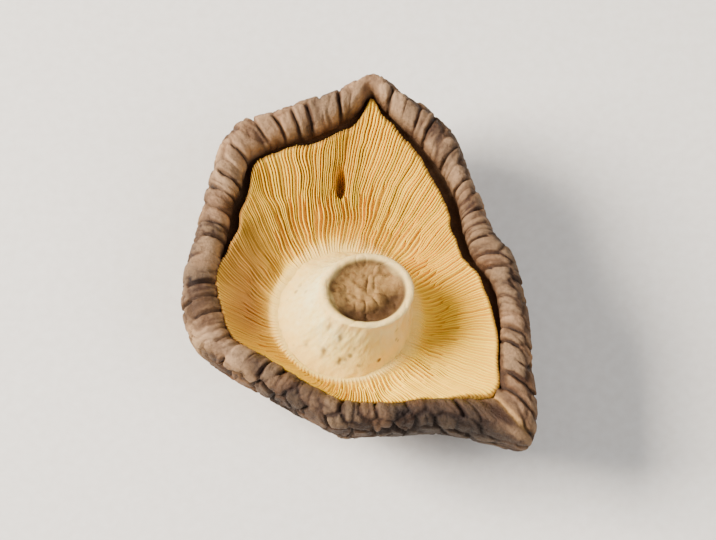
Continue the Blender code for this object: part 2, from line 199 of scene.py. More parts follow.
def layered(points, layers):
    """A sum of smooth random values, from the size, amount and seed of each layer."""
    return sum(amount * noise(points, size, seed) for size, amount, seed in layers)


def shifts(points, size, seed, ways):
    """Smooth random shifts of the points in two or three directions."""
    return np.stack([noise(points, size, seed + k) for k in range(ways)], 1)


def ridges(points, size, seed, sharpness):
    """Thin winding lines: 1 on a line, and falling off beside it."""
    return (1 - np.abs(noise(points, size, seed))) ** sharpness


cap_reach = reach(CAP_EDGE, CENTRE)
gill_reach_from_cap = reach(GILL_EDGE, CENTRE)


def groove_openness(angle):
    """How open the groove between gills and rim is: 1 from the right over the top to the upper left,
    and 0 where the gills touch the rim."""
    return np.clip((np.cos(angle - GROOVE_SIDE) + GROOVE_REACH) / GROOVE_FADE, 0.0, 1.0)


def groove_width(angle):
    """Width of the groove between gills and rim."""
    return GROOVE_WIDTH[0] + (GROOVE_WIDTH[1] - GROOVE_WIDTH[0]) * groove_openness(angle)


def rim_crest(angle):
    """Height of the rim's crest, which drying has left uneven."""
    return RIM_HEIGHT + sum(size * np.sin(waves * angle + phase) for size, waves, phase in RIM_WAVES)


def skin_line(angle, way):
    """Radius and height of the smooth skin at a distance along it from the rest spot, and the two
    parts of its outward direction."""
    radius = cap_reach(angle)
    start = np.arcsin(REST_RADIUS / radius)
    crest = rim_crest(angle)
    share = np.clip((way - REST_RADIUS) / (DOME_REACH - REST_RADIUS), 0, 1)
    turn = start + share * (math.pi / 2 - start)
    dome_r = radius * np.sin(turn)
    dome_z = DOME_RISE * (np.cos(start) - np.cos(turn)) / np.cos(start)
    dome_z = dome_z + (crest - ROLL_HEIGHT - DOME_RISE) * share ** DOME_FLARE
    along_r, along_z = radius * np.cos(turn), DOME_RISE * np.sin(turn) / np.cos(start)
    size = np.hypot(along_r, along_z)
    roll = np.clip((way - DOME_REACH) / (SKIN_REACH - DOME_REACH), 0, 1) * ROLL_TURN
    half = (radius - gill_reach_from_cap(angle) - groove_width(angle)) / 2
    roll_r = radius - half + half * np.cos(roll)
    roll_z = crest - ROLL_HEIGHT + ROLL_HEIGHT * np.sin(roll)
    out, up = np.cos(roll) * ROLL_HEIGHT, np.sin(roll) * half
    length = np.hypot(out, up)
    flat, dome = way <= REST_RADIUS, way <= DOME_REACH
    r = np.where(flat, way, np.where(dome, dome_r, roll_r))
    z = np.where(flat, 0.0, np.where(dome, dome_z, roll_z))
    dr = np.where(flat, 0.0, np.where(dome, along_z / size, out / length))
    dz = np.where(flat, -1.0, np.where(dome, -along_r / size, up / length))
    return r, z, dr, dz


def even_angle(way, share):
    """The angle at a share of the way round the cap, measured along its outline at this ring."""
    turn = np.linspace(0, 2 * math.pi, 361)
    r = skin_line(turn, np.full(361, way))[0]
    steps = np.hypot(np.diff(r * np.cos(turn)), np.diff(r * np.sin(turn)))
    run = np.concatenate([[0.0], np.cumsum(steps)])
    return np.interp(np.asarray(share) % 1.0 * run[-1], run, turn)


def plate_sites():
    """Middles of the skin's plates on the unrolled disc, the family of each, and its lift and tone.
    The beads that lie one behind the other across the rim are one family, with no crack between them."""
    dice = random.Random(SKIN_SEED)
    sites, families, marks, bead_angles = [(0.0, 0.0)], [0], [(0.0, 0.5)], []
    for ring, (distance, count) in enumerate(PLATE_RINGS):
        beads = ring >= len(PLATE_RINGS) - 2
        offset = dice.random()
        for k in range(count):
            wander = dice.uniform(-1, 1) * (BEAD_WANDER if beads else WANDER)
            along = 0.0 if beads else dice.uniform(-STRAY, STRAY)
            if len(bead_angles) == count:
                angle = bead_angles[k]
            else:
                angle = float(even_angle(distance, (k + offset + wander) / count))
            families.append(BEAD_FAMILY + k if beads else len(sites))
            sites.append(((distance + along) * math.cos(angle), (distance + along) * math.sin(angle)))
            marks.append((dice.uniform(*(BEAD_LIFT if beads else LIFT)), dice.random()))
        if beads and not bead_angles:
            bead_angles = [math.atan2(y, x) for x, y in sites[-count:]]
    grow = (2 * SKIN_REACH - PLATE_RINGS[-1][0]) / PLATE_RINGS[-1][0]
    for k, (x, y) in enumerate(sites[-PLATE_RINGS[-1][1]:]):
        sites.append((x * grow, y * grow))
        families.append(BEAD_FAMILY + k)
        marks.append((0.0, 0.5))
    return np.array(sites), np.array(families), np.array(marks)


def crack_field(points, sites, families, marks, width, drift):
    """For each point: the plate it is on, how deep it is in a crack from 0 to 1, its distance from the
    nearest strong crack, and the marks of the plates round it, which blend where no crack parts them."""
    owner = np.zeros(len(points), int)
    crack = np.zeros(len(points))
    plain = np.full(len(points), 9.0)
    blended = np.zeros((len(points), marks.shape[1]))
    pair_dice = np.random.default_rng(SKIN_SEED).random(8192)
    for first in range(0, len(points), 16384):
        part = slice(first, first + 16384)
        p = points[part]
        squares = ((p[:, None, :] - sites[None, :, :]) ** 2).sum(2)
        order = np.argpartition(squares, 5, axis=1)[:, :6]
        rows = np.arange(len(p))[:, None]
        order = order[rows, np.argsort(squares[rows, order], axis=1)]
        own = order[:, 0]
        owner[part] = own
        total = marks[own]
        weight = np.ones(len(p))
        for k in range(1, 6):
            other = order[:, k]
            apart = np.hypot(*(sites[own] - sites[other]).T)
            gap = (squares[rows[:, 0], other] - squares[rows[:, 0], own]) / (2 * apart)
            low = np.minimum(families[own], families[other])
            high = np.maximum(families[own], families[other])
            dice = pair_dice[(low * 131 + high) % 8192]
            weak = np.where(low >= BEAD_FAMILY, WEAK_CRACK[1], WEAK_CRACK[0])
            strength = ease((dice + drift[part] - weak) / CRACK_RAMP)
            on_edge = (low < BEAD_FAMILY) & (high >= BEAD_FAMILY)
            strength = np.where(on_edge, EDGE_CRACKS * strength, strength)
            strength = np.where(low == high, 0.0, strength)
            wide = width[part] * (WIDTH_SPREAD[0] + WIDTH_SPREAD[1] * dice)
            crack[part] = np.maximum(crack[part], strength * np.exp(-(gap / wide) ** CRACK_SHARPNESS))
            plain[part] = np.minimum(plain[part], gap + FAINT_MARGIN * (1 - strength))
            share = np.exp(-gap / TONE_BLEND)
            total = total + share[:, None] * marks[other]
            weight = weight + share
        blended[part] = total / weight[:, None]
    return owner, crack, plain, blended


def band(first, second):
    """Triangles between two closed rings of points, of which one may have twice as many as the other."""
    a, b = np.asarray(first), np.asarray(second)
    if len(a) > len(b):
        return band(b, a)[:, ::-1]
    a_next = np.roll(a, -1)
    if len(a) == len(b):
        b_next = np.roll(b, -1)
        return np.concatenate([np.c_[a, a_next, b_next], np.c_[a, b_next, b]])
    left, middle, right = b[0::2], b[1::2], np.roll(b[0::2], -1)
    return np.concatenate([np.c_[a, middle, left], np.c_[a, a_next, middle], np.c_[a_next, right, middle]])


def make_piece(name, points, triangles, values):
    """A mesh object from points in millimetres, with a named value for each of its points."""
    points = (np.asarray(points) + np.array([SHIFT[0], SHIFT[1], 0.0])) * MM
    a, b, c = (points[triangles[:, k]] for k in range(3))
    if np.einsum("ij,ij->i", a, np.cross(b, c)).sum() < 0:
        triangles = triangles[:, ::-1]
    mesh = bpy.data.meshes.new(name)
    mesh.vertices.add(len(points))
    mesh.vertices.foreach_set("co", points.astype(np.float32).ravel())
    mesh.loops.add(3 * len(triangles))
    mesh.loops.foreach_set("vertex_index", np.ascontiguousarray(triangles).astype(np.int32).ravel())
    mesh.polygons.add(len(triangles))
    mesh.polygons.foreach_set("loop_start", np.arange(0, 3 * len(triangles), 3, dtype=np.int32))
    mesh.update(calc_edges=True)
    mesh.validate()
    mesh.shade_smooth()
    for label, value in values.items():
        mesh.attributes.new(label, "FLOAT", "POINT").data.foreach_set("value", value.astype(np.float32))
    piece = bpy.data.objects.new(name, mesh)
    bpy.context.scene.collection.objects.link(piece)
    return piece


def distance_to_path(points, path):
    """Distance from each point of the plan to a line through the path's points."""
    near = np.full(len(points), 1e9)
    for a, b in zip(np.array(path[:-1]), np.array(path[1:])):
        along = np.clip(((points - a) @ (b - a)) / ((b - a) @ (b - a)), 0, 1)
        near = np.minimum(near, np.hypot(*(points - a - along[:, None] * (b - a)).T))
    return near


def soft_spots(points, spots):
    """Sum of soft round spots at points of the plan: place, size across and along, and amount."""
    total = np.zeros(len(points))
    for x, y, wide, deep, amount in spots:
        total += amount * np.exp(-((points[:, 0] - x) / wide) ** 2 - ((points[:, 1] - y) / deep) ** 2)
    return total


def build_cap():
    """The cap's skin as a fine mesh: dome, rim, the wall inside the rim and the floor under the gills."""
    sites, families, marks = plate_sites()
    rings, angles, ways = [], [], []
    count = 1
    columns = even_angle(EVEN_RING, np.arange(SKIN_COLUMNS) / SKIN_COLUMNS)
    for way in np.arange(FIRST_RING, SKIN_REACH + 0.01, SKIN_STEP):
        number = SKIN_COLUMNS
        while number > FEWEST_COLUMNS and number * COLUMN_SPACING > 2 * math.pi * way:
            number //= 2
        rings.append(np.arange(count, count + number))
        angles.append(columns[:: SKIN_COLUMNS // number])
        ways.append(np.full(number, way))
        count += number
    angle, way = np.concatenate(angles), np.concatenate(ways)
    flat = np.c_[way * np.cos(angle), way * np.sin(angle)]
    r, z, dr, dz = skin_line(angle, way)
    base = np.c_[CENTRE[0] + r * np.cos(angle), CENTRE[1] + r * np.sin(angle), z]
    outward = np.c_[dr * np.cos(angle), dr * np.sin(angle), dz]

    # Cracks wander off the straight lines between plates, less so across the rim. Some are wide and
    # deep, others a line that runs out inside a plate.
    on_rim = ease((way - RIM_START[0]) / RIM_START[1])
    stray = (CRACK_STRAY[0] - CRACK_STRAY[1] * on_rim)[:, None]
    bent = flat
    for size, amount, seed in CRACK_BENDS:
        bent = bent + amount * stray * shifts(base, size, seed, 2)
    width = CRACK_WIDTH[0] - CRACK_WIDTH[1] * on_rim
    owner, crack, plain, marks = crack_field(
        bent, sites, families, marks, width, layered(base, [CRACK_DRIFT])
    )
    # A plate is flat on top, with a lip that has curled up as it dried. A bead of the rim is round.
    rise, rise_width = PLATE_TOP
    lip, lip_place, lip_width = PLATE_LIP
    plate_top = rise * (1 - np.exp(-plain / rise_width))
    plate_top = plate_top + lip * np.exp(-((plain - lip_place) / lip_width) ** 2)
    bead_top = BEAD_TOP[0] * np.sqrt(1 - (1 - np.clip(plain / BEAD_TOP[1], 0, 1)) ** 2)
    depth = CRACK_DEPTH[0] - CRACK_DEPTH[1] * on_rim
    lift = marks[:, 0] * (1 - crack) + plate_top * (1 - on_rim) + bead_top * on_rim - depth * crack
    # Second, shallower cracks split the plates.
    dice = np.random.default_rng(SKIN_SEED + 5)
    line = np.arange(-SPLIT_REACH, SPLIT_REACH, SPLIT_SPACING)
    spots = np.array([(x, y) for x in line for y in line])
    spots = spots + dice.uniform(-SPLIT_JITTER, SPLIT_JITTER, spots.shape)
    spots = spots[np.hypot(spots[:, 0], spots[:, 1]) < SPLIT_REACH]
    split = bent + SPLIT_STRAY * shifts(base, 1.2, 8, 2)
    second = crack_field(
        split, spots, np.arange(len(spots)), np.zeros((len(spots), 1)),
        np.full(len(split), SPLIT_WIDTH), 0.4 * (noise(base, 4.5, 6) - 0.35),
    )[1]
    second = second * (1 - 0.8 * on_rim)
    lift = lift - SPLIT_DEPTH * second * (1 - crack)
    # Wrinkles of the drying skin: broad folds, fine creases, and on the rim ropes that run across it.
    rumple = base + 0.5 * shifts(base, 1.4, 20, 3)
    folds = ridges(rumple, 1.9, 23, 7) * (1 - 0.5 * on_rim)
    creases = ridges(rumple, 0.8, 10, 6) * ease(noise(base, 3.2, 18) * 1.5 + 0.7)
    across = np.c_[20 * np.cos(angle), 20 * np.sin(angle), 0.26 * way]
    across = across + 0.25 * shifts(base, 1.3, 24, 3)
    ropes = ridges(across, 1.0, 14, 3) * on_rim
    threads = ridges(across, 0.42, 27, 3) * on_rim
    lift = lift - FOLD_DEPTH * folds - CREASE_DEPTH * creases - ROPE_DEPTH * ropes
    lift = lift - THREAD_DEPTH * threads + layered(base, SWELLS)
    # At the sharp corner the rim is pinched into a fold.
    pinch = distance_to_path(base[:, :2], CORNER_FOLD) + 0.12 * noise(base, 0.9, 29)
    fold = np.exp(-(pinch / CORNER_FOLD_WIDTH) ** 2) * ease((way - 27.5) / 1.5)
    lift = lift - CORNER_FOLD_DEPTH * fold
    inside = ease((way - INSIDE_START[0]) / INSIDE_START[1])
    lift = lift * (1 - 0.55 * inside)
    points = base + outward * lift[:, None]
    points[:, 2] = np.maximum(points[:, 2], np.where(owner == 0, 0.0, 0.04))
    resting = (owner == 0) & (crack < 0.12)
    points[resting, 2] = 0.0
    # Painted light and shade: the lighter spots are kept to the rim, so the dome below it keeps its brown.
    painted_light_and_shade_tone = soft_spots(base, SKIN_TONES_AND_PAINTED_LIGHT)
    painted_light_and_shade_tone = np.where(painted_light_and_shade_tone > 0, painted_light_and_shade_tone * on_rim, painted_light_and_shade_tone)

    # Inner wall of the rim, the shelf of flesh in the groove, and the floor under the gills.
    last = points[rings[-1] - 1]
    cos, sin = np.cos(columns), np.sin(columns)
    wall_r = gill_reach_from_cap(columns) + groove_width(columns) + POCKET_MARGIN
    shelf_z = rim_crest(columns) - SHELF_DROP
    extra = []
    for share in WALL_SHARES:
        in_r = wall_r - (groove_width(columns) + SHELF_TUCK) * max(share - 1, 0)
        low = np.c_[CENTRE[0] + in_r * cos, CENTRE[1] + in_r * sin, shelf_z]
        ring = last + (low - last) * min(share, 1)
        ring[:, 2] += layered(ring, SHELF_RELIEF[:1]) * min(share, 1)
        wave = layered(ring, SHELF_RELIEF[1:])
        ring[:, 0] += wave * cos
        ring[:, 1] += wave * sin
        extra.append(ring)
        rings.append(np.arange(count, count + SKIN_COLUMNS))
        count += SKIN_COLUMNS
    for share, number in FLOOR_RINGS:
        turn = columns[:: SKIN_COLUMNS // number]
        in_r = (gill_reach_from_cap(turn) + groove_width(turn) + POCKET_MARGIN) * share
        height = FLOOR_MIDDLE + (rim_crest(turn) - FLOOR_DROP - FLOOR_MIDDLE) * share ** 2
        extra.append(
            np.c_[CENTRE[0] + in_r * np.cos(turn), CENTRE[1] + in_r * np.sin(turn), height]
        )
        rings.append(np.arange(count, count + number))
        count += number
    hidden = np.concatenate(extra)
    points = np.concatenate([[[CENTRE[0], CENTRE[1], 0.0]], points, hidden, [[*CENTRE, FLOOR_MIDDLE]]])
    triangles = [band(rings[k], rings[k + 1]) for k in range(len(rings) - 1)]
    first, final = rings[0], rings[-1]
    triangles.append(np.c_[np.zeros(len(first), int), np.roll(first, -1), first])
    triangles.append(np.c_[final, np.roll(final, -1), np.full(len(final), count)])
    triangles = np.concatenate(triangles)

    def padded(values, start, end):
        return np.concatenate([[start], values, np.full(len(hidden) + 1, end)])

    # The crack value is the cracks' own dark flesh, a darker band beside strong cracks, and painted shade
    # in the folds, creases, ropes and threads of the skin.
    halo = 0.38 * np.exp(-plain / 0.5)
    crack_and_painted_crease_shade = np.maximum.reduce(
        [crack, halo, 0.7 * second, 0.5 * folds, 0.45 * creases, 0.5 * ropes, 0.4 * threads]
    )
    values = {
        "crack": padded(crack_and_painted_crease_shade, 0.0, 0.3),
        "plate": padded(marks[:, 1], 0.5, 0.5),
        "rim": padded(on_rim, 0.0, 1.0),
        "inside": padded(inside, 0.0, 1.0),
        "high": padded(np.clip(lift / 0.4 + 0.4, 0, 1), 0.5, 0.2),
        "painted_light_and_shade_tone": padded(painted_light_and_shade_tone, 0.0, 0.0),
        "fold": padded(fold, 0.0, 0.0),
    }
    return make_piece("cap_skin", points, triangles, values)


def colour(hex_value):
    """An sRGB hex colour as linear red, green, blue and alpha."""
    parts = [int(hex_value[k:k + 2], 16) / 255 for k in (1, 3, 5)]
    return [c / 12.92 if c <= 0.04045 else ((c + 0.055) / 1.055) ** 2.4 for c in parts] + [1.0]


def add(material, kind, settings, links):
    """One node in a material: its properties and socket values, then what feeds each socket."""
    tree = material.node_tree
    node = tree.nodes.new(kind)
    for key, value in settings.items():
        if isinstance(key, str) and hasattr(node, key):
            setattr(node, key, value)
        else:
            node.inputs[key].default_value = value
    for key, source in links.items():
        tree.links.new(source, node.inputs[key])
    return node


def stops(node, places):
    """Sets a colour ramp's stops from a list of place and hex colour."""
    ramp = node.color_ramp
    while len(ramp.elements) < len(places):
        ramp.elements.new(0.5)
    for element, (place, hex_value) in zip(ramp.elements, places):
        element.position = place
        element.color = colour(hex_value)


def new_material(name, roughness, settings):
    """A material with its Principled shader, whose constant values are set on the shader's own sockets."""
    material = bpy.data.materials.new(name)
    material.use_nodes = True
    shader = material.node_tree.nodes["Principled BSDF"]
    shader.inputs["Roughness"].default_value = roughness
    for key, value in settings.items():
        shader.inputs[key].default_value = value
    return material, shader


# Dried mushroom cuticle: thin, leathery and fibrous. Plates differ in tone from one to the next and
# are lighter to a tan on top, partly from wear and partly a painted highlight. The cracks show dark flesh,
# the wrinkles carry painted shade, the rim carries painted light and shade, and the skin has only a faint
# gloss.
# Noise scales are in waves a metre: blotches of about 7 mm, freckles of 1.4 mm, and fibres of
# 0.3 mm, which are a few times coarser than the real ones so that they show.
skin, skin_shader = new_material("dried_cap_cuticle", 0.62, {"IOR": 1.45, "Specular IOR Level": 0.35})
skin_crack_and_crease_shade, skin_plate, skin_rim, skin_inside, skin_high, skin_painted_light_and_shade, skin_fold = (
    add(skin, "ShaderNodeAttribute", {"attribute_name": label}, {}).outputs["Fac"]
    for label in ("crack", "plate", "rim", "inside", "high", "painted_light_and_shade_tone", "fold")
)
skin_place = add(skin, "ShaderNodeTexCoord", {}, {}).outputs["Object"]
blotches = add(
    skin, "ShaderNodeTexNoise", {"Scale": 150.0, "Detail": 3.0, "Roughness": 0.5}, {"Vector": skin_place}
).outputs["Fac"]
freckles = add(
    skin, "ShaderNodeTexNoise", {"Scale": 700.0, "Detail": 5.0, "Roughness": 0.65}, {"Vector": skin_place}
).outputs["Fac"]
fibres = add(
    skin, "ShaderNodeTexNoise", {"Scale": 3000.0, "Detail": 6.0, "Roughness": 0.7}, {"Vector": skin_place}
).outputs["Fac"]
# The tone starts from the painted light and shade, then adds the plates' own tones, the freckles and the
# fibres.
tone = skin_painted_light_and_shade
for share, pattern in ((0.52, skin_plate), (0.5, freckles), (0.25, fibres)):
    tone = add(
        skin, "ShaderNodeMath", {"operation": "MULTIPLY_ADD", 1: share}, {0: pattern, 2: tone}
    ).outputs[0]
dome_tone = add(skin, "ShaderNodeValToRGB", {}, {"Fac": tone})
stops(dome_tone, [(0.2, "#2c1c0d"), (0.5, "#4b341f"), (0.7, "#694d30"), (0.98, "#92714a")])
rim_tone = add(skin, "ShaderNodeValToRGB", {}, {"Fac": tone})
stops(rim_tone, [(0.2, "#20120b"), (0.48, "#3e281a"), (0.68, "#624730"), (0.95, "#99795b")])
base_tone = add(
    skin, "ShaderNodeMix", {"data_type": "RGBA"},
    {"Factor": skin_rim, 6: dome_tone.outputs["Color"], 7: rim_tone.outputs["Color"]},
)
warmth = add(
    skin, "ShaderNodeMapRange", {"From Min": 0.4, "From Max": 0.65, "To Max": 0.5}, {"Value": blotches}
)
base_tone = add(
    skin, "ShaderNodeMix", {"data_type": "RGBA", "blend_type": "MULTIPLY", 7: colour("#f0c49a")},
    {"Factor": warmth.outputs["Result"], 6: base_tone.outputs[2]},
)
# Dark flesh in the cracks and painted shade in the wrinkles both darken the colour, less so on the rim.
crack_and_crease_shade_share = add(skin, "ShaderNodeMapRange", {"From Min": 0.2, "From Max": 0.8}, {"Value": skin_crack_and_crease_shade})
softer = add(skin, "ShaderNodeMapRange", {"To Min": 1.0, "To Max": 0.8}, {"Value": skin_rim})
crack_and_crease_shade_share = add(
    skin, "ShaderNodeMath", {"operation": "MULTIPLY"},
    {0: crack_and_crease_shade_share.outputs["Result"], 1: softer.outputs["Result"]},
)
dark_tone = add(
    skin, "ShaderNodeMix", {"data_type": "RGBA", 7: colour("#1f1008")},
    {"Factor": crack_and_crease_shade_share.outputs[0], 6: base_tone.outputs[2]},
)
# Raised spots are lightened towards tan, partly from wear and partly as a painted highlight, which is kept
# out of the painted shade.
wear_and_painted_highlight = add(
    skin, "ShaderNodeMapRange", {"From Min": 0.5, "From Max": 1.0, "To Max": 0.7}, {"Value": skin_high}
)
wear_and_highlight_fibres = add(
    skin, "ShaderNodeMath", {"operation": "MULTIPLY"}, {0: wear_and_painted_highlight.outputs["Result"], 1: fibres}
)
highlight_kept_out_of_painted_shade = add(
    skin, "ShaderNodeMapRange", {"From Min": -0.4, "From Max": 0.05, "To Min": 0.15},
    {"Value": skin_painted_light_and_shade},
)
wear_and_highlight_fibres = add(
    skin, "ShaderNodeMath", {"operation": "MULTIPLY"},
    {0: wear_and_highlight_fibres.outputs[0], 1: highlight_kept_out_of_painted_shade.outputs["Result"]},
)
wear_and_highlight_tone = add(
    skin, "ShaderNodeMix", {"data_type": "RGBA", 7: colour("#c6a27a")},
    {"Factor": wear_and_highlight_fibres.outputs[0], 6: dark_tone.outputs[2]},
)
inner = add(skin, "ShaderNodeMath", {"operation": "MULTIPLY", 1: 0.45}, {0: skin_inside})
inner_tone = add(
    skin, "ShaderNodeMix", {"data_type": "RGBA", 7: colour("#53361c")},
    {"Factor": inner.outputs[0], 6: wear_and_highlight_tone.outputs[2]},
)
fold_fibres = add(skin, "ShaderNodeMath", {"operation": "MULTIPLY", 1: 1.2}, {0: fibres})
fold_share = add(
    skin, "ShaderNodeMath", {"operation": "MULTIPLY", "use_clamp": True},
    {0: skin_fold, 1: fold_fibres.outputs[0]},
)
fold_tone = add(
    skin, "ShaderNodeMix", {"data_type": "RGBA", 7: colour("#dcab6c")},
    {"Factor": fold_share.outputs[0], 6: inner_tone.outputs[2]},
)
skin.node_tree.links.new(fold_tone.outputs[2], skin_shader.inputs["Base Color"])
gloss = add(
    skin, "ShaderNodeMapRange", {"From Min": 0.3, "From Max": 0.7, "To Min": 0.5, "To Max": 0.8},
    {"Value": fibres},
)
skin.node_tree.links.new(gloss.outputs["Result"], skin_shader.inputs["Roughness"])
skin_relief = add(
    skin, "ShaderNodeBump", {"Strength": 0.7, "Distance": 0.0004}, {"Height": fibres}
)
skin.node_tree.links.new(skin_relief.outputs["Normal"], skin_shader.inputs["Normal"])

cap = build_cap()
cap.data.materials.append(skin)
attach(cap, "root")
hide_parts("cap")

# Gills. Thin blades of pale tissue hang side by side under a shiitake's cap, long ones from stem to
# margin and shorter ones between them. Dried, they are cupped, wavy and golden, with a split near
# the tip. They grow out of the cap's flesh and run into the foot of the stem.
STEM_FOOT = (-1.7, -4.2)
STEM_RADIUS = (7.4, 7.6)
STEM_CLEAR = 0.45
GILL_MIDDLE = 10.9
GILL_CUP = 1.4
GILL_FOOT_RISE = 0.5
UNDER_CREST = (0.7, 0.5)  # how far below the rim's crest the gills end, and what the groove adds
TIP_TURN = math.radians(83.9)
TIP_SPREAD = math.radians(1.7)
TIP_LENGTH = 0.9
GILL_BLADES = 288
# Across a blade: share of its spacing, share of its height.
BLADE_SHAPE = [(-0.5, 0.0), (-0.33, 0.1), (-0.2, 0.84), (0.0, 1.0), (0.2, 0.84), (0.33, 0.1)]
BLADE_DEPTH = 0.55
BLADE_TALL = (-0.16, 0.1)
BLADE_THICK = (0.8, 1.2)
BLADE_ASIDE = 0.16
SHORT_STARTS = (0.16, 0.55)  # where a short blade begins, as a share of the way to the margin
FULL_SIDE = math.radians(112)
FULL_SPREAD = math.radians(26)
FULL_REACH = 0.5
# On the lower left the gills touch the rim, so they reach further than the line of their edge.
TOUCH_REACH = 0.85
# Size, amount and seed of the ragged margin, the waves of the blades and the dents of their edges.
RAGGED = [(2.6, 0.3, 27), (1.0, 0.12, 28)]
WAVES = [(5.0, 0.4, 25), (2.4, 0.26, 21), (1.0, 0.07, 22)]
DENTS = [(1.7, 0.12, 23), (4.5, 0.1, 24)]
SLIT = (-2.3, 12.0)
SLIT_SIZE = (0.6, 1.6)
SLIT_DEPTH = 2.4
GILL_CREASE = [(-2.3, 11.0), (-2.2, 13.2), (-1.5, 16.0), (-0.6, 19.0)]
GILL_CREASE_WIDTH = 0.8
GILL_CREASE_DEPTH = 0.4
MARGIN_START = 0.955
MARGIN_BLEND = 0.03
# Soft tones: place, size across and along, and amount. The left is browner, which is painted shade, and the
# right and bottom paler, partly their own tone and partly painted light.
PAINTED_SHADE_SPOTS = [
    (-13.0, 1.0, 5.0, 8.0, 0.8), (-11.5, -5.5, 4.0, 4.0, 0.5), (-3.0, 13.0, 3.5, 4.5, 0.2),
]
PALE_AND_PAINTED_LIGHT_SPOTS = [
    (3.0, -12.5, 8.0, 3.5, 0.75), (-7.5, -11.0, 4.0, 2.6, 0.6), (12.5, -11.0, 3.0, 5.0, 0.45),
    (9.0, 5.0, 2.6, 5.0, 0.3), (3.6, 10.5, 3.2, 7.0, 0.5),
]
gill_reach = reach(GILL_EDGE, STEM_FOOT)


def pocket_floor(x, y):
    """Height of the pocket floor under points of the plan."""
    angle = np.arctan2(y - CENTRE[1], x - CENTRE[0])
    edge = gill_reach_from_cap(angle) + groove_width(angle) + POCKET_MARGIN
    share = np.clip(np.hypot(x - CENTRE[0], y - CENTRE[1]) / edge, 0, 1)
    return FLOOR_MIDDLE + (rim_crest(angle) - FLOOR_DROP - FLOOR_MIDDLE) * share ** 2


